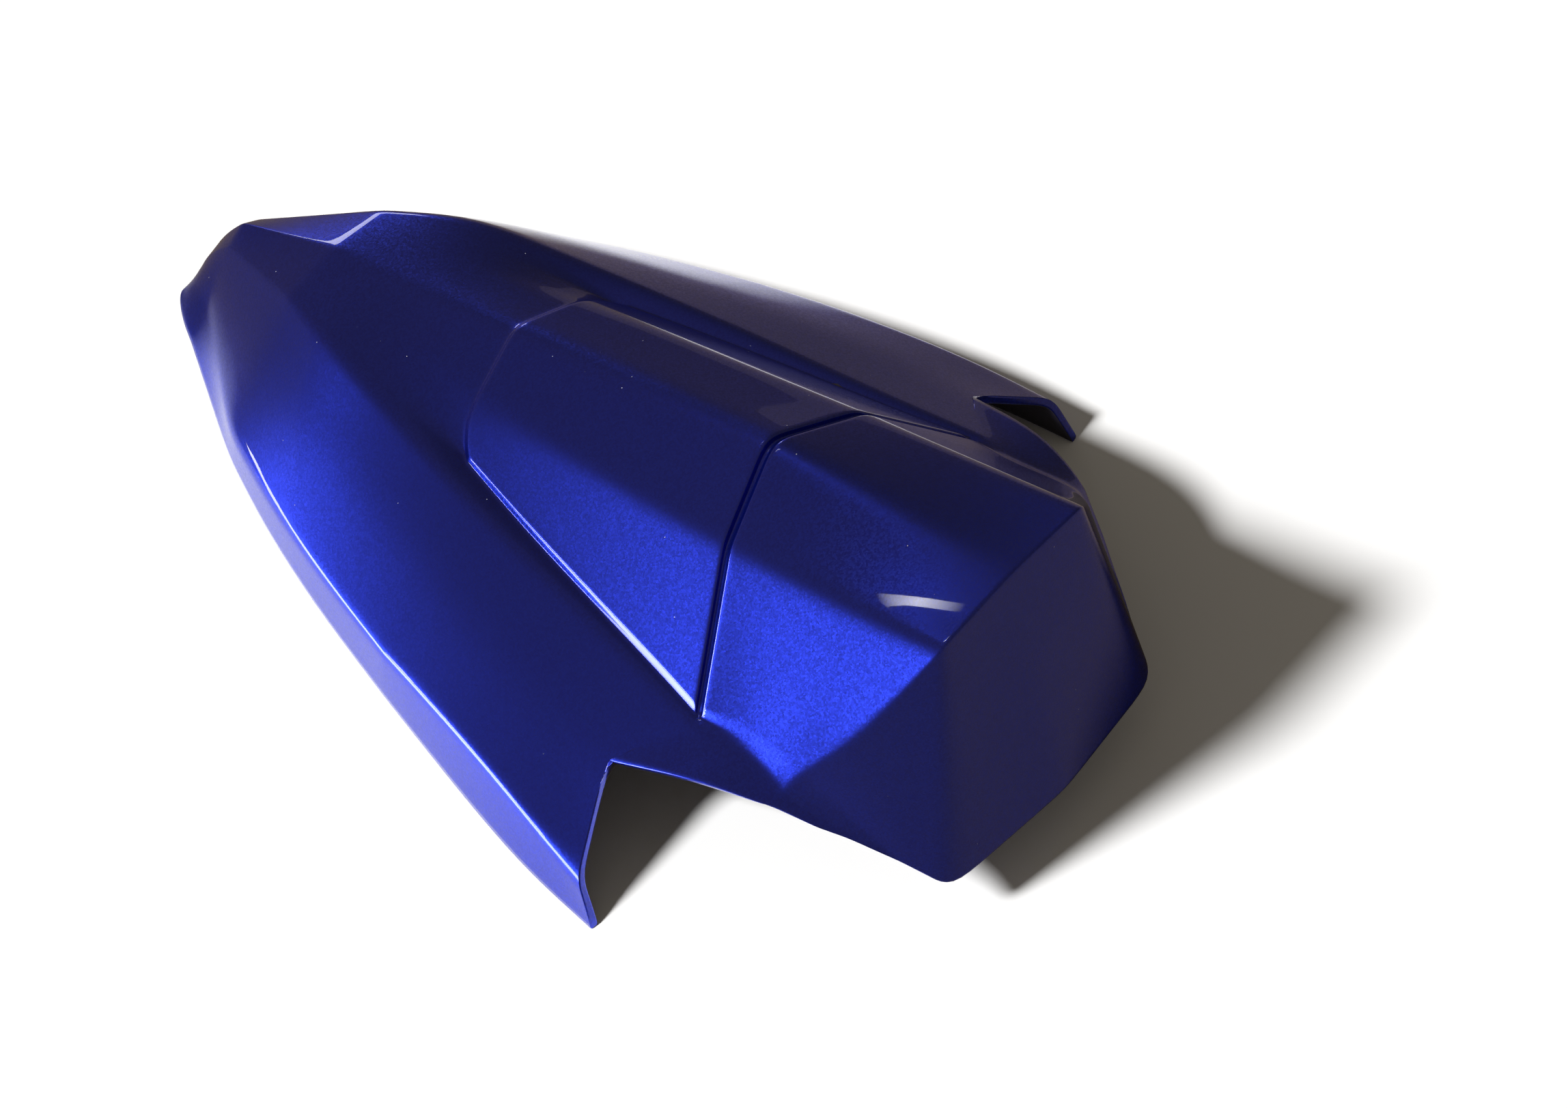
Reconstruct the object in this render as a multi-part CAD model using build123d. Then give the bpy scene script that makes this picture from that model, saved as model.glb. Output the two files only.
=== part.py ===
from build123d import *
import os
from math import cos, radians, tan

# Seat cowl of a motorbike tail: one moulded shell, open underneath.
# Millimetres, +X to one wing, +Y to the tail, +Z up. Stations along Y are counted from the wing tips.

# Wall and edge sizes
wall = 3.0
crest_radius = 5.0
crease_radius = 6.0
apex_radius = 30.0
ridge_radius = 22.0
foot_radius = 6.0
step_radius = 1.5
least_run = 0.2

# Half width over the wing tips, and the lengths along Y from the wing tips to the end of the tail
half_span = 130.0
deck_length = 190.0
tail_fall_length = 31.0
tail_facet_length = 43.0
nose_length = 20.0

# Groove between the rear pad and the front bolster, and the rear pad's tail edge, both in plan (x, y)
groove_width = 3.0
groove_depth = 2.2
groove_bend_radius = 6.0
groove_line = [(0, 30), (34, 20), (74, 1), (82, 46), (140, 46)]
pad_edge_radius = 30.0
pad_edge = [(0, deck_length - 50), (25, deck_length - 55), (140, deck_length - 116)]

# Screw bosses under the deck, for thread-forming screws
boss_spacing_x = 120.0
boss_spacing_y = 100.0
boss_first_y = 50.0
boss_radius = 6.0
boss_foot_z = 18.0
pilot_radius = 2.1
pilot_depth = 14.0

# Front wall, which leans back from its foot to its top, with rounded corners and two corner facets
front_foot_y = -95.0
front_foot_z = 21.0
front_foot_half = 60.0
front_foot_bulge = 5.0
front_foot_radius = 40.0
front_top_y = -70.0
front_top_z = 121.0
front_top_half = 36.0
front_top_bulge = 1.5
front_top_radius = 12.0
front_crown_radius = 200.0
facet_end_y = 50.0
facet_foot_half = 159.0
facet_top_half = 119.0

# Side opening between wing and bolster, as seen from the side (y, z), with a radius at each point
arch_line = [(0, 0), (21, 43), (-14, 55), (-52, 50), (front_foot_y + 19, 37), (front_foot_y + 5, front_foot_z)]
arch_radii = [1.0, 4.0, 40.0, 40.0, 30.0, 12.0]

# Stations of the tail
tail_crease_y = deck_length + tail_fall_length
tail_tip_y = tail_crease_y + tail_facet_length

# Lower body: station, rim half width, crest (lean in from the rim, z), deck crease (x, z), middle height
wing_sections = [
    (-30, half_span + 7, (1.5, 14), (80, 55.5), 56.5),
    (0, half_span, (1.3, 17.8), (75, 57), 58),
    (62, 117, (3.3, 25), (63.5, 58), 59),
    (115, 102.5, (1.4, 24.5), (54, 59.5), 60.5),
    (deck_length - 24, 84.5, (1, 24.5), (42.5, 62), 63.5),
    (deck_length, 74, (0.5, 23), (36.5, 63.5), 65.5),
]
tail_sections = [
    wing_sections[-1],
    (tail_crease_y, 58.5, (0.5, 20), (24.3, 54.3), 57.5),
    (tail_tip_y, 29, (9, 12.5), (7.9, 30.9), 36.6),
]
nose_sections = [
    tail_sections[-1],
    (tail_tip_y + 0.4 * nose_length, 22, (7, 9), (6.5, 22), 26),
    (tail_tip_y + 0.75 * nose_length, 14.5, (4.5, 5.5), (4.7, 12), 14),
    (tail_tip_y + nose_length, 6, (1.5, 2.5), (2.5, 4.5), 5),
]

# Raised middle: station, middle height, ridge (x, z), foot (x, z), outer edge of the ledge beside the foot (x, z)
front_sections = [
    (front_foot_y - 15, front_top_z + 2, (38, front_top_z + 0.5), (90, 52), (97, 47)),
    (front_top_y, front_top_z + 0.2, (37, front_top_z - 1.7), (82, 54), (92, 49)),
]
groove_sections = [
    (-34, front_top_z - 3.5, (36, front_top_z - 11.5), (76, 58), (88, 53)),
    (0, front_top_z - 7.3, (34.7, front_top_z - 20.4), (71.5, 59.5), (95, 51)),
    (23, front_top_z - 9.8, (34, front_top_z - 26.6), (66, 60), (97, 39)),
]
bolster_end = (50, front_top_z - 16.5, (31.8, front_top_z - 32.7), (60, 59), (91, 34))

# The rear pad's part of it has no ledge
pad_sections = [
    (80, 96.5, (29.5, 82), (53, 60.5)),
    (deck_length - 55, 82, (25.2, 71), (40.5, 61)),
    (deck_length - 10, 70.2, (18, 67), (34, 63)),
    (tail_crease_y, 59, (12, 57.3), (22, 55)),
]

# How far cutting blocks reach past the part
reach_x = 2 * half_span
reach_z = 2 * front_top_z
ahead_y = 2 * front_foot_y


def inset_run(points, distance):
    # Move each straight run of an outline to its right, and join the runs again
    runs = []
    for (x0, y0), (x1, y1) in zip(points, points[1:]):
        dx, dy = x1 - x0, y1 - y0
        size = (dx * dx + dy * dy) ** 0.5
        runs.append(((x0 + dy / size * distance, y0 - dx / size * distance), (dx, dy)))
    moved = [runs[0][0]]
    for (p, d), (q, e) in zip(runs, runs[1:]):
        along = ((q[0] - p[0]) * e[1] - (q[1] - p[1]) * e[0]) / (d[0] * e[1] - d[1] * e[0])
        moved.append((p[0] + d[0] * along, p[1] + d[1] * along))
    last, step = runs[-1]
    moved.append((last[0] + step[0], last[1] + step[1]))
    return moved


def round_run(points, radii):
    # Straight runs joined by arcs, each arc no longer than its two runs allow
    edges = []
    start = Vector(*points[0])
    for before, corner, after, radius in zip(points, points[1:], points[2:], radii):
        corner = Vector(*corner)
        back, ahead = Vector(*before) - corner, Vector(*after) - corner
        half_angle = radians(back.get_angle(ahead)) / 2
        longest = (min(back.length, ahead.length) - least_run) / 2
        reach = min(radius / tan(half_angle), longest)
        first, last = corner + back.normalized() * reach, corner + ahead.normalized() * reach
        middle = (back.normalized() + ahead.normalized()).normalized()
        crown = corner + middle * (reach / cos(half_angle) - reach * tan(half_angle))
        edges += [Edge.make_line(start, first), Edge.make_three_point_arc(first, crown, last)]
        start = last
    return edges + [Edge.make_line(start, Vector(*points[-1]))]


def closed(edges):
    # A closed wire from an open run of edges
    return Wire(edges + [Edge.make_line(edges[-1] @ 1, edges[0] @ 0)])


def mirrored(half):
    # A whole outline from its right half, which starts on the middle line
    return [(-x, v) for x, v in reversed(half[1:])] + half


def section(y, half, radii, inset, floor):
    # One closed cross-section from its right half, which runs from the middle down to the floor
    points = inset_run(mirrored(half), inset)
    points[0] = (points[0][0], floor)
    points[-1] = (points[-1][0], floor)
    return closed(round_run([(x, y, z) for x, z in points], radii[:0:-1] + radii))


def lower_body(inset, floor, nose):
    # Deck, shoulders and flanks: wings, faceted tail and rounded nose
    bodies = []
    for stations, faceted in ((wing_sections, False), (tail_sections, True), (nose, False)):
        wires = []
        for y, rim, (lean, crest_z), crease, middle in stations:
            half = [(0, middle), crease, (rim - lean, crest_z), (rim, 0)]
            back = inset if y > tail_tip_y else 0
            wires.append(section(y - back, half, [apex_radius, crease_radius, crest_radius], inset, floor))
        bodies.append(Solid.make_loft(wires, ruled=faceted))
    return bodies


def hump(inset, floor):
    # The raised middle from the tail crease to the bolster, with upright sides below its foot line
    wires = []
    for y, middle, ridge, foot, *_ in groove_sections + pad_sections:
        half = [(0, middle), ridge, foot, (foot[0], 0)]
        wires.append(section(y, half, [apex_radius, ridge_radius, step_radius], inset, floor))
    return Solid.make_loft(wires)


def bolster(inset, floor):
    # The raised middle ahead of the groove, where its foot runs out into a ledge
    wires = []
    for y, middle, ridge, foot, edge in front_sections + groove_sections + [bolster_end]:
        half = [(0, middle), ridge, foot, edge, (edge[0], 0)]
        radii = [apex_radius, ridge_radius, foot_radius, step_radius]
        wires.append(section(y, half, radii, inset, floor))
    return Solid.make_loft(wires)


def plan_block(half, radius, shift, end_y):
    # An upright block between a line in plan, moved along Y, and a straight end
    points = [(x, y + shift, -reach_z) for x, y in mirrored(half)]
    outline = [(points[0][0], end_y, -reach_z)] + points + [(points[-1][0], end_y, -reach_z)]
    edges = round_run(outline, [radius] * len(points))
    return Solid.extrude(Face(closed(edges)), Vector(0, 0, 2 * reach_z))


def front_block(inset):
    # A block with the leaning front wall, its corner facets and its rounded corners
    wires = []
    for z in (-wall, front_top_z + wall):
        rise = (z - front_foot_z) / (front_top_z - front_foot_z)
        y = front_foot_y + (front_top_y - front_foot_y) * rise
        half = front_foot_half + (front_top_half - front_foot_half) * rise
        side = facet_foot_half + (facet_top_half - facet_foot_half) * rise
        bulge = front_foot_bulge + (front_top_bulge - front_foot_bulge) * rise
        radius = front_foot_radius + (front_top_radius - front_foot_radius) * rise
        outline = inset_run(mirrored([(0, y), (half, y + bulge), (side, facet_end_y)]), -inset)
        wires.append(closed(round_run([(x, v, z) for x, v in outline], [radius, front_crown_radius, radius])))
    return Solid.make_loft(wires, ruled=True)


def cowl_form(inset, floor, nose):
    # The outer form without its rear pad, or the hollow inside it when inset by the wall
    before_groove = plan_block(groove_line, groove_bend_radius, -groove_width / 2 - inset, ahead_y)
    front = bolster(inset, floor) & before_groove & front_block(inset)
    core = hump(inset + groove_depth, floor)
    wings, tail, tail_end = lower_body(inset, floor, nose)
    return wings + [tail, tail_end, core, front]


def rear_pad():
    # The pad between the groove and the pad's tail edge, as high above the form as the groove is deep
    behind_groove = plan_block(groove_line, groove_bend_radius, groove_width / 2, tail_tip_y)
    before_edge = plan_block(pad_edge, pad_edge_radius, 0, ahead_y)
    return hump(0, 0) & behind_groove & before_edge


def side_cutter():
    # A block right through the part that opens the sides and ends the front wall
    outline = [(arch_line[0][0], -reach_z)] + arch_line + [(ahead_y, front_foot_z)]
    edges = round_run([(-reach_x, y, z) for y, z in outline], arch_radii)
    corner = Vector(-reach_x, ahead_y, -reach_z)
    edges.append(Edge.make_line(edges[-1] @ 1, corner))
    return Solid.extrude(Face(closed(edges)), Vector(2 * reach_x, 0, 0))


def standing(x, y, radius, height):
    # An upright cylinder on the plane of the boss feet
    return Pos(x, y, boss_foot_z) * Cylinder(radius, height, align=(Align.CENTER, Align.CENTER, Align.MIN))


def cowl_shell():
    # The shell with its side openings, and the bosses moulded to its inside
    outer = cowl_form(0, 0, nose_sections) + rear_pad()
    shell = outer - cowl_form(wall, -wall, nose_sections[:-1])
    boss_xs = (-boss_spacing_x / 2, boss_spacing_x / 2)
    boss_ys = (boss_first_y, boss_first_y + boss_spacing_y)
    places = [(x, y) for x in boss_xs for y in boss_ys]
    shell += [standing(x, y, boss_radius, front_top_z) & outer for x, y in places]
    shell -= [standing(x, y, pilot_radius, pilot_depth) for x, y in places]
    return shell - side_cutter()


# The origin lies under the middle of the part's box, on the surface that it rests on
shell = cowl_shell()
box = shell.bounding_box()
shell = Pos(0, -box.center().Y, -box.min.Z) * shell
os.makedirs("parts", exist_ok=True)
export_step(shell, "parts/cowl_shell.step")
print("cowl_shell", len(shell.solids()), round(shell.volume), shell.bounding_box().size, box.center())
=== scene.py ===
import math
import bmesh
import bpy
from mathutils import Matrix, Quaternion, Vector


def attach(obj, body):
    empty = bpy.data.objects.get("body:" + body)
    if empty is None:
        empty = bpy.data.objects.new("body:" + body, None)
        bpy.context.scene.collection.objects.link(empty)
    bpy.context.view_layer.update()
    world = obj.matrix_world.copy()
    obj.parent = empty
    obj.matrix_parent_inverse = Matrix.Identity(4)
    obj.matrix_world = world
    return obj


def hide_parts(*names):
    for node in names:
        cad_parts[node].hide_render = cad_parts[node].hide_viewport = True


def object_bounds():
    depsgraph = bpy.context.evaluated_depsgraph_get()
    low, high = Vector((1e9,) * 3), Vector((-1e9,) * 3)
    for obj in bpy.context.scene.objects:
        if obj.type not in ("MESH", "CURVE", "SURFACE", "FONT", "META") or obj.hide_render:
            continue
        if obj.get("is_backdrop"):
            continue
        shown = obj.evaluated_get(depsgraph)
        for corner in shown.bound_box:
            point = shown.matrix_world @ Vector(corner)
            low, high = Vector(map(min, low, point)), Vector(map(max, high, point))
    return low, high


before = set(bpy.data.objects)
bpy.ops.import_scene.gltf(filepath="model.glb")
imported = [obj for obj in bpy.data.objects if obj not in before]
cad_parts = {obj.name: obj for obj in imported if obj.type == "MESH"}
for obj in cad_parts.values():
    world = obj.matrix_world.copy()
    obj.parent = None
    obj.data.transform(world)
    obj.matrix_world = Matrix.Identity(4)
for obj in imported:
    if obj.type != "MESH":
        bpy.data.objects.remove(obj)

cadLow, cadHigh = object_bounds()
scene = bpy.context.scene
mm = 0.001
rearStation = 284.0  # stations run in mm from the wing tips to the tail; this one is the rear of the CAD box
toFrame = Vector((0, cadHigh.y - rearStation * mm, 0))
print("frame loaded, nodes:", ", ".join(sorted(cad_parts)))


class Wire:
    # a shader socket: arithmetic on it adds Math nodes, and node() adds any other node
    def __init__(self, tree, socket=None):
        self.tree = tree
        self.socket = socket

    def feed(self, socket, value):
        if isinstance(value, Wire):
            self.tree.links.new(value.socket, socket)
        else:
            socket.default_value = value

    def node(self, kind, settings=None, values=None, out=0):
        made = self.tree.nodes.new("ShaderNode" + kind)
        for name, value in (settings or {}).items():
            setattr(made, name, value)
        for key, value in (values or {}).items():
            self.feed(made.inputs[key], value)
        return Wire(self.tree, made.outputs[out])

    def math(self, operation, first, second):
        return self.node("Math", {"operation": operation}, {0: first, 1: second})

    def mix(self, factor, first, second):
        return self.node("Mix", {"data_type": "RGBA"}, {0: factor, 6: first, 7: second}, 2)

    def vector(self, operation, first, second):
        return self.node("VectorMath", {"operation": operation}, {0: first, 1: second})

    def __add__(self, other):
        return self.math("ADD", self, other)

    def __radd__(self, other):
        return self.math("ADD", other, self)

    def __sub__(self, other):
        return self.math("SUBTRACT", self, other)

    def __rsub__(self, other):
        return self.math("SUBTRACT", other, self)

    def __mul__(self, other):
        return self.math("MULTIPLY", self, other)

    def __rmul__(self, other):
        return self.math("MULTIPLY", other, self)

    def __lt__(self, other):
        return self.math("LESS_THAN", self, other)

    def __gt__(self, other):
        return self.math("GREATER_THAN", self, other)


def newMaterial(name):
    material = bpy.data.materials.new(name)
    material.use_nodes = True
    return material, Wire(material.node_tree), material.node_tree.nodes["Principled BSDF"]


def finish(wire, shader, sockets):
    for name, value in sockets.items():
        wire.feed(shader.inputs[name], value)


# clear-coated metallic blue, with fine flake and a little dust
paint = {
    "blue": (0.013, 0.03, 0.5, 1),
    "flakeBlue": (0.018, 0.045, 0.66, 1),
    "metallic": 0.95,
    "edgeTint": (0.68, 0.7, 1, 1),
    "roughness": (0.32, 0.36),
    "cloudScale": 25,
    "cloudDetail": 3,
    "coatRoughness": 0.02,
    "flakeSize": 0.6,
    "flakeTilt": 0.07,
    "dustColour": (0.4, 0.41, 0.5, 1),
    "dustSpacing": 5.0,
    "dustRadius": 0.17,
    "dustShare": 0.25,
}


def bluePaint():
    material, wire, shader = newMaterial("bluePaint")
    coords = wire.node("TexCoord", out="Object")
    flakes = wire.node("TexVoronoi", {}, {"Vector": coords, "Scale": 1 / (paint["flakeSize"] * mm)}, "Color")
    level = wire.node("SeparateColor", {}, {0: flakes})
    centred = wire.vector("SUBTRACT", flakes, (0.5, 0.5, 0.5))
    tilt = wire.vector("MULTIPLY", centred, (paint["flakeTilt"],) * 3)
    tilted = wire.vector("ADD", wire.node("NewGeometry", out="Normal"), tilt)
    cells = {"Vector": coords, "Scale": 1 / (paint["dustSpacing"] * mm)}
    apart = wire.node("TexVoronoi", {}, cells, "Distance")
    chosen = wire.node("SeparateColor", {}, {0: wire.node("TexVoronoi", {}, cells, "Color")})
    dust = (apart < paint["dustRadius"] / paint["dustSpacing"]) * (chosen < paint["dustShare"])
    flaked = wire.mix(level, paint["blue"], paint["flakeBlue"])
    cloud = wire.node("TexNoise", {}, {"Vector": coords, "Scale": paint["cloudScale"],
                                       "Detail": paint["cloudDetail"]})
    smooth, dull = paint["roughness"]
    finish(wire, shader, {
        "Base Color": wire.mix(dust, flaked, paint["dustColour"]),
        "Metallic": (1 - dust) * paint["metallic"],
        "Roughness": smooth + cloud * (dull - smooth),
        "Normal": wire.vector("NORMALIZE", tilted, (0, 0, 0)),
        "Specular Tint": paint["edgeTint"],
        "Coat Weight": 1,
        "Coat Roughness": paint["coatRoughness"],
    })
    return material


# unpainted moulded plastic on the inside
plastic = {
    "colour": (0.02, 0.018, 0.034, 1),
    "worn": (0.042, 0.038, 0.062, 1),
    "roughness": (0.42, 0.6),
    "cloudScale": 18,
    "cloudDetail": 4,
    "grainSize": 0.7,
    "grainDetail": 2,
    "grainDepth": 0.05,
    "grainStrength": 0.6,
}


def barePlastic():
    material, wire, shader = newMaterial("barePlastic")
    coords = wire.node("TexCoord", out="Object")
    cloud = wire.node("TexNoise", {}, {"Vector": coords, "Scale": plastic["cloudScale"],
                                       "Detail": plastic["cloudDetail"]})
    grain = wire.node("TexNoise", {}, {"Vector": coords, "Scale": 1 / (plastic["grainSize"] * mm),
                                       "Detail": plastic["grainDetail"]})
    bump = wire.node("Bump", {}, {"Strength": plastic["grainStrength"],
                                  "Distance": plastic["grainDepth"] * mm, "Height": grain})
    smooth, dull = plastic["roughness"]
    finish(wire, shader, {
        "Base Color": wire.mix(cloud, plastic["colour"], plastic["worn"]),
        "Roughness": smooth + cloud * (dull - smooth),
        "Normal": bump,
    })
    return material


paintedSide, bareSide = bluePaint(), barePlastic()
print("materials made")


# the shell: one moulded wall. A soft is how far the loops stand from a fold, in mm,
# and a most is the largest share of the way to the next fold that they may take.
cowl = {
    "wall": 3.0,
    "grooveDepth": 2.6,
    "padDrop": 2.2,
    "apexSoft": 10.0,
    "ridgeSoft": 6.0,
    "footSoft": 4.0,
    "stepSoft": 1.0,
    "creaseSoft": 4.0,
    "crestSoft": 3.8,
    "wingSoft": 10.0,  # the crest at the wing tip
    "padEdgeSoft": 10.0,  # the ridge at the rear edge of the pad
    "padEdgeMost": 0.4,
    "padEdgeBow": -2.4,
    "cornerSoft": 20.0,  # the ridge at the foot of the front wall
    "cornerMost": 0.42,
    "frontFootSoft": 14.0,
    "frontBow": 3.8,
    "most": 0.3,
    "footMost": (0.2, 0.1),
    "stepMost": 0.5,
    "crestMost": 0.4,
    "rowMost": 0.45,
    "rimCrease": 0.45,
    "smoothing": 2,
}

# tail: station, middle height, deck crease (x, z), crest (x, z), rim x, crown of the shoulder
tailStations = {
    "noseEnd": (281.5, 0, (5, 0), (11, 0), 16, 0),
    "noseLow": (278.5, 12, (6, 10.5), (13, 5), 20, 0),
    "nose": (272, 25, (7, 21.5), (17, 8.5), 25.5, 0.3),
    "tip": (264, 36.6, (7.9, 30.9), (20.5, 10), 30.5, 0.6),
    "tailCrease": (221, 57.5, (24.3, 54.3), (58.5, 15), 59.5, 1.4),
    "bend": (190, 65.5, (36.5, 63.5), (74, 17.5), 75, 1.2),
}

# where the lines of the form cross each row, from tail to front:
# middle, ridge, pad foot, step foot, deck crease, notch line, crest, rim
formRows = {
    "deck": [(0, 166, 71.7), (20, 164, 67.3), (33, 161, 64.4), (37.5, 160.5, 63.2),
             (44, 160, 61.7), (64.5, 158, 44), (86.8, 158, 20.3), (88, 158, 0)],
    "padTail": [(0, 140, 80.7), (25, 135, 73), (41, 127, 61), (42.2, 126.6, 59),
                (51.5, 124, 60), (75, 119, 44), (100.4, 116, 22.6), (102, 115, 0)],
    "padRear": [(0, 108, 89.2), (29.3, 101, 79.3), (49.8, 94, 60.7), (50.9, 93.6, 58),
                (58.1, 92, 58.9), (83, 90, 43.5), (107.6, 88, 24.8), (110.6, 87, 0)],
    "padMiddle": [(0, 75, 97.9), (31.8, 67, 86.3), (58.5, 56, 60.3), (59.6, 56, 57.5),
                  (64.5, 56, 57.9), (91, 57, 42), (115.2, 57, 24.8), (119.5, 57, 0)],
    "padFront": [(0, 50, 104.3), (33.5, 41, 92), (65.2, 26, 60), (66.3, 26, 57.2),
                 (70.3, 26, 57.4), (94.5, 40, 40.8), (121, 34, 22.2), (126, 31, 0)],
    "groove": [(0, 30, 109.9), (34.6, 20, 96.8), (71.2, 2.4, 59.6), (72.3, 1.8, 57),
               (75.5, 1, 57), (96.5, 21, 41.5), (127, 8.8, 18.4), (130.3, 0, 0)],
    "bolsterRear": [(0, 2, 113.5), (35.3, -8, 103.5), (68.8, -16, 64.6), (71.9, -16.5, 60.9),
                    (74.2, -17, 58.4), (91, -13, 55.2)],
    "bolsterFront": [(0, -33, 117.4), (36.1, -37, 110.3), (71.4, -33.1, 66), (74.5, -33.1, 61.8),
                     (76.8, -32.9, 58.7), (85.3, -32, 53.9)],
    "frontTop": [(0, -69.5, 121.1), (36.3, -70, 119.4), (73.6, -41.7, 64), (76.1, -40.3, 59.8),
                 (78.2, -39.4, 56.7), (82.6, -38.3, 52.6)],
    "frontFoot": [(0, -95, 21.5), (54, -90, 21), (62.2, -74.1, 31.6), (65, -69.6, 34.8),
                  (70.3, -60.1, 40.7), (76, -50.8, 45.5)],
}
ridgeColumn, footColumn, creaseColumn, notchColumn = 3, 9, 12, 15  # columns that carry a line of the form
linesToNotch = 6  # a row beside the arch ends at the notch line

# how far the rows that hold a fold stand from it, in mm
rowGaps = {
    "behindTip": (3, 3),  # on top and on the side, as in the next three
    "beforeTip": (4, 6),
    "behindCrease": (5, 18),
    "beforeCrease": (5, 14),
    "padEdge": 0.5,
    "behindPad": (9, 2.5),  # two rows
    "onPad": (2, 8),  # two rows
    "groove": [(9, 0), (4, 0), (1.8, 0), (1.35, 0.5), (0.9, 1)],  # each with its share of the depth
    "frontTop": [(12, 14), (4, 8), (1.5, 4)],  # each on top and on the side
    "frontFoot": (10, 2),  # two rows
}
deckShares = (0, 0.4, 0.75, 0.85, 1)  # points across the tail's deck, from the middle to the crease
slopeShares = (0.55, 0.74)  # loops on the slope from ridge to foot
shoulderShare = 0.45  # the loop on the shoulder, from the notch line to the crest
flankShare = 0.6  # the loop on the flank, from the crest to the rim
closest = 1e-6  # points nearer than this are one point


def toward(a, b, distance, most=cowl["most"]):
    # the point so far from a on the way to b, but at most this share of the way
    return a.lerp(b, min(distance / max((b - a).length, closest), most))


def tailLine(station):
    y, middle, (creaseX, creaseZ), (crestX, crestZ), rimX, crown = station
    peak, crease = Vector((0, y, middle)), Vector((creaseX, y, creaseZ))
    crest, rim = Vector((crestX, y, crestZ)), Vector((rimX, y, 0))
    deck = [peak.lerp(crease, share) for share in deckShares]
    return deck + [crease.lerp(crest, 0.5) + Vector((0, 0, crown)), crest, rim]


def columns(points, ridgeSoft=cowl["ridgeSoft"], ridgeMost=cowl["most"], crestSoft=cowl["crestSoft"],
            footSoft=cowl["footSoft"], bow=0):
    # all points of one row: the lines of the form, and the loops that hold their folds
    middle, ridge, foot, step, crease, notch = [Vector(p) for p in points[:linesToNotch]]
    farMost, nearMost = cowl["footMost"]
    row = [middle, toward(middle, ridge, cowl["apexSoft"]), toward(ridge, middle, ridgeSoft), ridge,
           toward(ridge, foot, ridgeSoft, ridgeMost)]
    row += [ridge.lerp(foot, share) for share in slopeShares]
    row += [toward(foot, ridge, footSoft, farMost), toward(foot, ridge, footSoft / 4, nearMost), foot]
    row += [step, toward(step, crease, cowl["stepSoft"], cowl["stepMost"]), crease]
    row += [toward(crease, notch, cowl["creaseSoft"]), crease.lerp(notch, 0.5), notch]
    for k in range(ridgeColumn + 1, footColumn):  # the slope bows forward, or back
        share = (row[k] - ridge).length / (foot - ridge).length
        row[k] = row[k] - Vector((0, 4 * share * (1 - share) * bow, 0))
    if len(points) > linesToNotch:  # behind the arch the row runs on, over the shoulder to the rim
        crest, rim = [Vector(p) for p in points[linesToNotch:]]
        row += [notch.lerp(crest, shoulderShare), toward(crest, notch, crestSoft, cowl["crestMost"]), crest]
        row += [toward(crest, rim, crestSoft, cowl["crestMost"]), crest.lerp(rim, flankShare), rim]
    return row


def sunk(row, depth):
    # the row let down as far as the foot of the pad
    return [p - Vector((0, 0, depth)) if k <= footColumn else p for k, p in enumerate(row)]


def near(a, b, distance, sideDistance=None, sideFrom=creaseColumn + 1):
    # a row beside row a, on the way to row b, with another distance on the columns of the side
    side = sideDistance or distance
    return [toward(p, q, distance if k < sideFrom else side, cowl["rowMost"])
            for k, (p, q) in enumerate(zip(a, b))]


def cowlRows(grooveDepth, padDrop):
    # every row of the half form, from the nose to the foot of the front wall
    tail = {name: columns(tailLine(station)) for name, station in tailStations.items()}
    main = {name: columns(points) for name, points in formRows.items()}
    main["padTail"] = columns(formRows["padTail"], cowl["padEdgeSoft"], cowl["padEdgeMost"],
                              bow=cowl["padEdgeBow"])
    main["groove"] = columns(formRows["groove"], crestSoft=cowl["wingSoft"])
    main["frontTop"] = columns(formRows["frontTop"], footSoft=cowl["frontFootSoft"], bow=cowl["frontBow"])
    main["frontFoot"] = columns(formRows["frontFoot"], cowl["cornerSoft"], cowl["cornerMost"])
    made = [tail["noseEnd"], tail["noseLow"], tail["nose"]]
    made += [near(tail["tip"], tail["nose"], *rowGaps["behindTip"]), tail["tip"],
             near(tail["tip"], tail["tailCrease"], *rowGaps["beforeTip"])]
    made += [near(tail["tailCrease"], tail["tip"], *rowGaps["behindCrease"]), tail["tailCrease"],
             near(tail["tailCrease"], tail["bend"], *rowGaps["beforeCrease"]), tail["bend"], main["deck"]]
    # the step at the pad's rear edge
    behind = near(sunk(main["padTail"], padDrop), main["deck"], rowGaps["padEdge"])
    ahead = near(main["padTail"], main["padRear"], rowGaps["padEdge"])
    made += [near(behind, main["deck"], gap) for gap in rowGaps["behindPad"]] + [behind, ahead]
    made += [near(ahead, main["padRear"], gap) for gap in rowGaps["onPad"]]
    made += [main["padRear"], main["padMiddle"], main["padFront"]]
    # the groove; ahead of it the rows end at the arch
    groove = main["groove"]
    made += [sunk(near(groove, main["padFront"], gap), share * grooveDepth)
             for gap, share in rowGaps["groove"]]
    made.append(sunk(groove, grooveDepth))
    bolster = groove[:notchColumn + 1]
    made += [sunk(near(bolster, main["bolsterRear"], gap), share * grooveDepth)
             for gap, share in reversed(rowGaps["groove"])]
    made += [main["bolsterRear"], main["bolsterFront"]]
    # the front wall
    top, foot = main["frontTop"], main["frontFoot"]
    slope = ridgeColumn + 2
    made += [near(top, main["bolsterFront"], gap, side, slope) for gap, side in rowGaps["frontTop"]]
    made.append(top)
    made += [near(top, foot, gap, side, slope) for gap, side in reversed(rowGaps["frontTop"])]
    made.append([p.lerp(q, 0.5) for p, q in zip(top, foot)])
    made += [near(foot, top, gap) for gap in rowGaps["frontFoot"]] + [foot]
    return made


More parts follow.
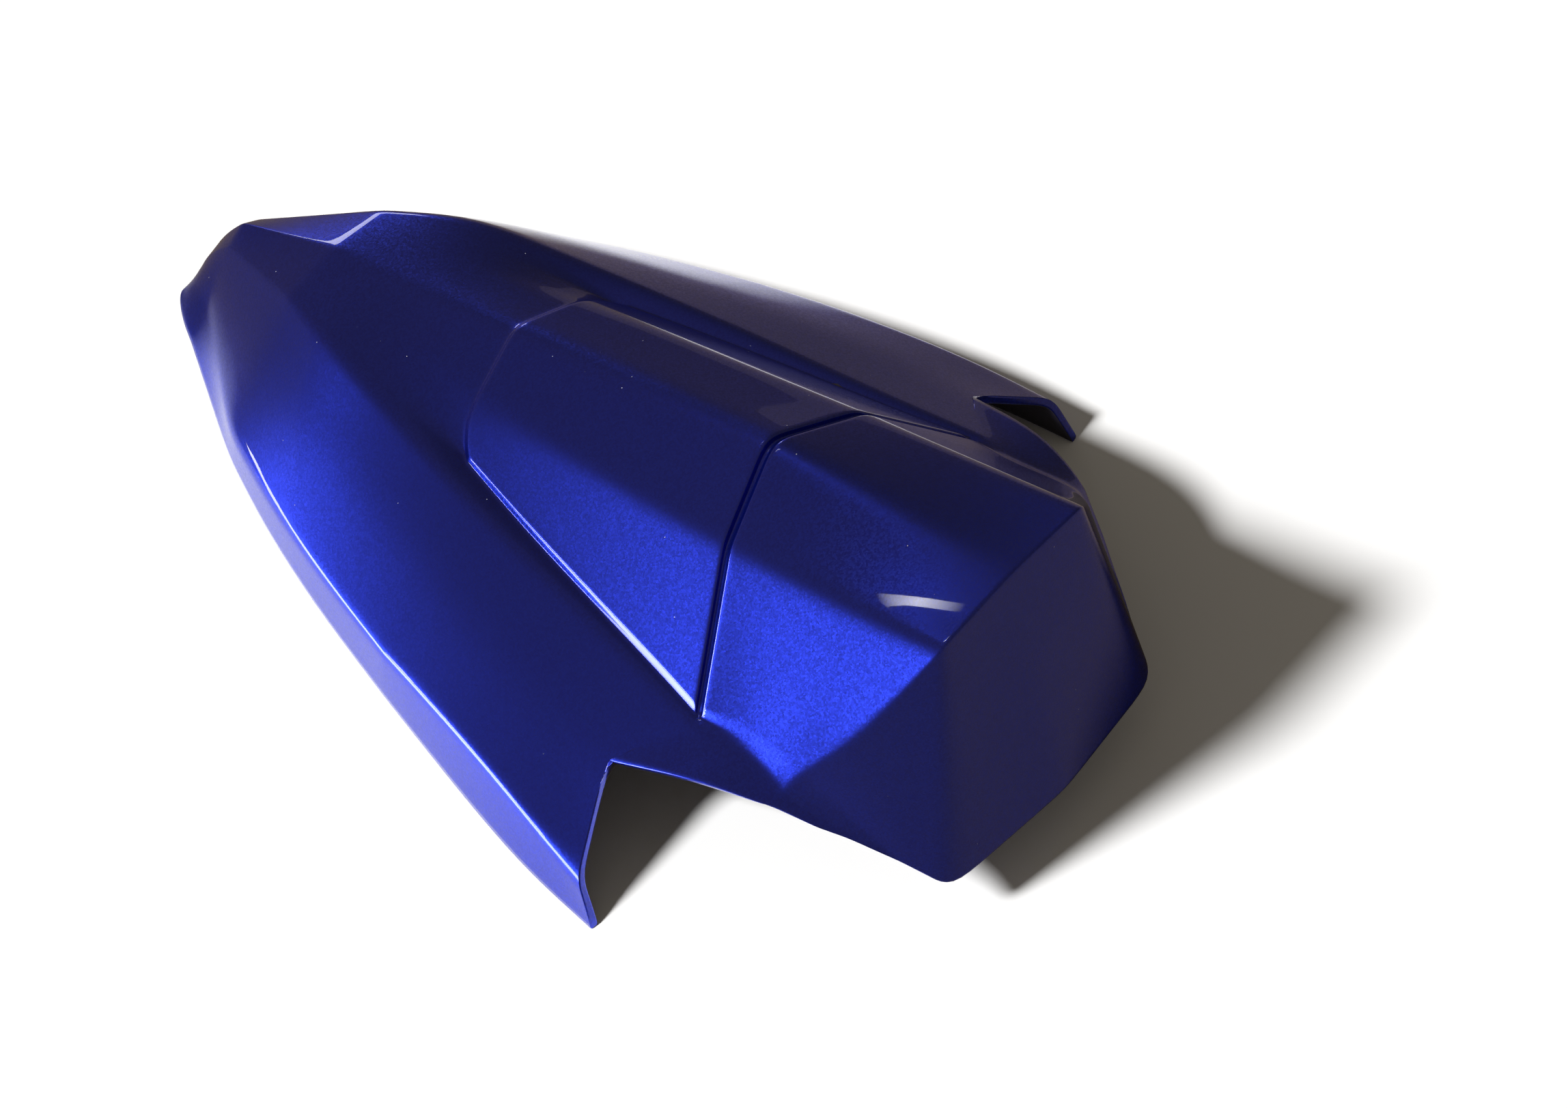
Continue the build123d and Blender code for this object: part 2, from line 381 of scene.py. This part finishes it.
def sheet(bm, rows):
    # chains of edges along the rows, bridged one to the next
    grid, chains = [], []
    for row in rows:
        verts = [bm.verts.new(p * mm + toFrame) for p in row]
        grid.append(verts)
        chains.append([bm.edges.new(pair) for pair in zip(verts, verts[1:])])
    for first, second in zip(chains, chains[1:]):
        bmesh.ops.bridge_loops(bm, edges=first[:len(second)] + second)
    return grid


def rimEdges(bm, grid):
    # the free edge of a half sheet, from the nose round the wing and the arch to the middle of the front
    cut = next(k for k, row in enumerate(grid) if len(grid[k + 1]) < len(row))
    chain = grid[0] + [row[-1] for row in grid[1:cut]] + grid[cut][notchColumn:][::-1]
    chain += [row[-1] for row in grid[cut + 1:]] + grid[-1][:-1][::-1]
    return [bm.edges.get(pair) for pair in zip(chain, chain[1:])]


def moveIn(grid, distance):
    # the inner skin, moved in by the wall, with its foot on the floor and its middle on the middle plane
    facesDown = -0.2  # a normal that points further down than this is turned round
    blur = 2  # columns on either side whose normals are averaged
    for row in grid:
        normals = [-v.normal if v.normal.z < facesDown else v.normal.copy() for v in row]
        for k, v in enumerate(row):
            outward = sum(normals[max(k - blur, 0):k + blur + 1], Vector())
            onFloor, onMiddle = v.co.z < closest, v.co.x < closest
            outward.x = 0 if onMiddle else outward.x
            v.co -= outward.normalized() * distance
            v.co.z = 0 if onFloor else v.co.z
            v.co.x = 0 if onMiddle else v.co.x


def addPiece(name, bm, materials):
    mesh = bpy.data.meshes.new(name)
    bm.to_mesh(mesh)
    bm.free()
    mesh.shade_smooth()
    for material in materials:
        mesh.materials.append(material)
    piece = bpy.data.objects.new(name, mesh)
    scene.collection.objects.link(piece)
    return piece


def onCowl(piece):
    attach(piece, "root")
    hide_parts("cowl_shell")


def cowlShell():
    bm = bmesh.new()
    crease = bm.edges.layers.float.new("crease_edge")
    outer = sheet(bm, cowlRows(cowl["grooveDepth"], cowl["padDrop"]))
    outerFaces = set(bm.faces)
    bmesh.ops.recalc_face_normals(bm, faces=bm.faces[:])
    inner = sheet(bm, cowlRows(0, 0))
    innerFaces = [f for f in bm.faces if f not in outerFaces]
    bmesh.ops.recalc_face_normals(bm, faces=innerFaces)
    bm.normal_update()
    moveIn(inner, cowl["wall"] * mm)
    rims = rimEdges(bm, outer) + rimEdges(bm, inner)
    for edge in rims:
        edge[crease] = cowl["rimCrease"]
    for face in innerFaces:
        face.material_index = 1
    bmesh.ops.bridge_loops(bm, edges=rims)
    half = bm.verts[:] + bm.edges[:] + bm.faces[:]
    bmesh.ops.mirror(bm, geom=half, matrix=Matrix.Identity(4), axis="X", merge_dist=closest)
    bmesh.ops.recalc_face_normals(bm, faces=bm.faces[:])
    print("cowl shell:", len(bm.faces), "faces,", sum(not e.is_manifold for e in bm.edges), "open edges")
    piece = addPiece("cowlShell", bm, [paintedSide, bareSide])
    smooth = piece.modifiers.new("smooth", "SUBSURF")
    smooth.levels = smooth.render_levels = cowl["smoothing"]
    onCowl(piece)
    return piece


shell = cowlShell()

# bosses for thread-forming screws, moulded to the underside
boss = {
    "across": 60.0,
    "stations": (50.0, 150.0),
    "radius": 6.0,
    "foot": 18.0,
    "pilotRadius": 2.1,
    "pilotDepth": 14.0,
    "edge": 0.5,
    "edgeSegments": 2,
    "intoWall": 1.2,
    "sides": 32,
    "sharpAngle": 40,
}


def screwBosses():
    bm = bmesh.new()
    graph = bpy.context.evaluated_depsgraph_get()
    wall = shell.evaluated_get(graph)
    foot = boss["foot"] * mm
    for side in (-1, 1):
        for station in boss["stations"]:
            axis = Vector((side * boss["across"], station, boss["foot"])) * mm + toFrame
            length = boss["pilotDepth"] * 2 * mm  # only to start from, as the top is moved below
            halfway = Matrix.Translation(axis + Vector((0, 0, length / 2)))
            made = bmesh.ops.create_cone(bm, cap_ends=True, segments=boss["sides"], depth=length,
                                         radius1=boss["radius"] * mm, radius2=boss["radius"] * mm,
                                         matrix=halfway)["verts"]
            for v in made:
                if v.co.z > foot + length / 2:  # the top follows the wall that it grows from
                    _, spot, _, _ = wall.ray_cast(Vector((v.co.x, v.co.y, foot)), Vector((0, 0, 1)))
                    v.co.z = spot.z + boss["intoWall"] * mm
            caps = {f for v in made for f in v.link_faces if len(f.verts) == boss["sides"]}
            bottom = min(caps, key=lambda f: f.calc_center_median().z)
            outline = bottom.edges[:]
            bmesh.ops.inset_region(bm, faces=[bottom], thickness=(boss["radius"] - boss["pilotRadius"]) * mm)
            hole = bmesh.ops.extrude_discrete_faces(bm, faces=[bottom])["faces"][0]
            bmesh.ops.translate(bm, verts=hole.verts[:], vec=Vector((0, 0, boss["pilotDepth"] * mm)))
            bmesh.ops.bevel(bm, geom=outline, offset=boss["edge"] * mm, offset_type="OFFSET", affect="EDGES",
                            segments=boss["edgeSegments"], profile=0.5, material=-1)
    bmesh.ops.recalc_face_normals(bm, faces=bm.faces[:])
    print("screw bosses:", len(bm.faces), "faces,", sum(not e.is_manifold for e in bm.edges), "open edges")
    piece = addPiece("screwBosses", bm, [bareSide])
    piece.data.set_sharp_from_angle(angle=math.radians(boss["sharpAngle"]))
    onCowl(piece)


screwBosses()

# pale floor. Painted reflection: in the paint's mirror image the floor stays pale only in a pool round the
# part, and beyond it turns a dark warm colour that stands in for the shaded room
floor = {
    "size": 6.0,
    "colour": (0.93, 0.93, 0.93, 1),
    "roughness": 0.9,
    "poolCentre": (-0.03, 0, 0),
    "poolRadii": (0.178, 0.175, 1),
    "poolEdge": (0.9, 1.15),
    # painted reflection: the floor's colour beyond the pool, seen only in the paint's mirror image
    "paintedReflectionBeyondPool": (0.165, 0.125, 0.085, 1),
}


def paleFloor():
    bm = bmesh.new()
    bmesh.ops.create_grid(bm, x_segments=1, y_segments=1, size=floor["size"])
    material, wire, shader = newMaterial("paleFloor")
    coords = wire.node("TexCoord", out="Object")
    pool = wire.node("Mapping", {"vector_type": "TEXTURE"},
                     {"Vector": coords, "Location": floor["poolCentre"], "Scale": floor["poolRadii"]})
    reach = wire.node("VectorMath", {"operation": "LENGTH"}, {0: pool}, "Value")
    inside, outside = floor["poolEdge"]
    beyond = wire.node("MapRange", {"interpolation_type": "SMOOTHSTEP"},
                       {"Value": reach, "From Min": inside, "From Max": outside})
    # painted reflection: only mirror rays see the dark floor beyond the pool; the camera sees the pale floor
    # everywhere
    mirrored = wire.node("LightPath", out="Is Glossy Ray")
    finish(wire, shader, {
        "Base Color": wire.mix(beyond * mirrored, floor["colour"], floor["paintedReflectionBeyondPool"]),
        "Roughness": floor["roughness"],
        "Specular IOR Level": 0,
    })
    addPiece("paleFloor", bm, [material])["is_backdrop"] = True


paleFloor()
print("floor laid")

view = {
    "azimuth": -51.0,
    "elevation": 54.0,
    "focalPixels": 12000.0,
    "imageWidth": 2296,
    "sensor": 36.0,
    "place": (-1242.9, -1077.0, 2251.5),
    "clipEnd": 50,
}


def direction(azimuth, elevation):
    # azimuth is counted from +X towards +Y
    a, e = math.radians(azimuth), math.radians(elevation)
    return Vector((math.cos(a) * math.cos(e), math.sin(a) * math.cos(e), math.sin(e)))


def place(name, data, spot, back, turn=0):
    # a camera or lamp that looks against the direction given, turned about that direction
    thing = bpy.data.objects.new(name, data)
    thing.location = spot
    thing.rotation_mode = "QUATERNION"
    thing.rotation_quaternion = Quaternion(back, math.radians(turn)) @ back.to_track_quat("Z", "Y")
    scene.collection.objects.link(thing)
    return thing


lens = bpy.data.cameras.new("camera")
lens.sensor_width = view["sensor"]
lens.lens = view["focalPixels"] * view["sensor"] / view["imageWidth"]
lens.clip_end = view["clipEnd"]
scene.camera = place("camera", lens, Vector(view["place"]) * mm,
                     direction(view["azimuth"] - 90, view["elevation"]))
print("camera placed")

studio = {
    "room": (0.12, 0.107, 0.088, 1),
    "mirroredLeft": (0.17, 0.12, 0.07, 1),  # what the paint mirrors of the room, on either side
    "mirroredRight": (0.1, 0.068, 0.015, 1),
    "mirroredTurn": (0.1, 0.75),  # the span of X over which left turns to right
    "key": {"azimuth": 153, "elevation": 43.5, "height": 2.0, "energy": 4.7, "angle": 9},
}

# lamps: the point faced, direction and distance from it, width and height, all in mm, and brightness
lamps = {
    "windowLow": {"faces": (0, 0, 50), "azimuth": 142, "elevation": 1.2, "distance": 2500,
                  "size": (760, 200), "radiance": 15},
    "rearWindow": {"faces": (0, 0, 50), "azimuth": 54, "elevation": 5, "distance": 2500,
                   "size": (450, 350), "radiance": 4},
    "ceilingLamp": {"faces": (-20, -145, 116), "azimuth": 70, "elevation": 44, "distance": 1200,
                    "size": (330, 36), "radiance": 12, "onlyMirrored": True, "spread": 14},
    "floorPatch": {"faces": (-362, 136, 1), "azimuth": 0, "elevation": -90, "distance": 0, "turn": 14,
                   "size": (450, 290), "radiance": 11, "onlyMirrored": True},
}


def studioLight():
    world = bpy.data.worlds.new("studio")
    world.use_nodes = True
    scene.world = world
    wire = Wire(world.node_tree)
    mirrored = wire.node("LightPath", out="Is Glossy Ray")
    sideways = wire.node("SeparateXYZ", {}, {0: wire.node("TexCoord", out="Generated")}, "X")
    nearLeft, farRight = studio["mirroredTurn"]
    turned = wire.node("MapRange", {"interpolation_type": "SMOOTHSTEP"},
                       {"Value": sideways, "From Min": nearLeft, "From Max": farRight})
    roomMirrored = wire.mix(turned, studio["mirroredLeft"], studio["mirroredRight"])
    wire.feed(world.node_tree.nodes["Background"].inputs["Color"],
              wire.mix(mirrored, studio["room"], roomMirrored))
    key = studio["key"]
    sun = bpy.data.lights.new("key", "SUN")
    sun.energy = key["energy"]
    sun.angle = math.radians(key["angle"])
    sunLamp = place("key", sun, Vector((0, 0, key["height"])), direction(key["azimuth"], key["elevation"]))
    sunLamp.visible_glossy = False
    for name, lamp in lamps.items():
        light = bpy.data.lights.new(name, "AREA")
        light.shape = "RECTANGLE"
        light.size, light.size_y = (side * mm for side in lamp["size"])
        light.energy = lamp["radiance"] * math.pi * light.size * light.size_y
        if "spread" in lamp:  # a narrow beam is brighter for the same power
            light.spread = math.radians(lamp["spread"])
            light.energy *= 1 - light.spread / 2 / math.tan(light.spread / 2)
        back = direction(lamp["azimuth"], lamp["elevation"])
        spot = (Vector(lamp["faces"]) + back * lamp["distance"]) * mm
        placed = place(name, light, spot, back, lamp.get("turn", 0))
        placed.visible_camera = False
        placed.visible_diffuse = not lamp.get("onlyMirrored", False)


studioLight()
scene.view_settings.view_transform = "Standard"
print("lights placed")

low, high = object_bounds()
for name, size in (("visual", high - low), ("CAD", cadHigh - cadLow)):
    print(name, "size in mm:", [round(c / mm, 1) for c in size])
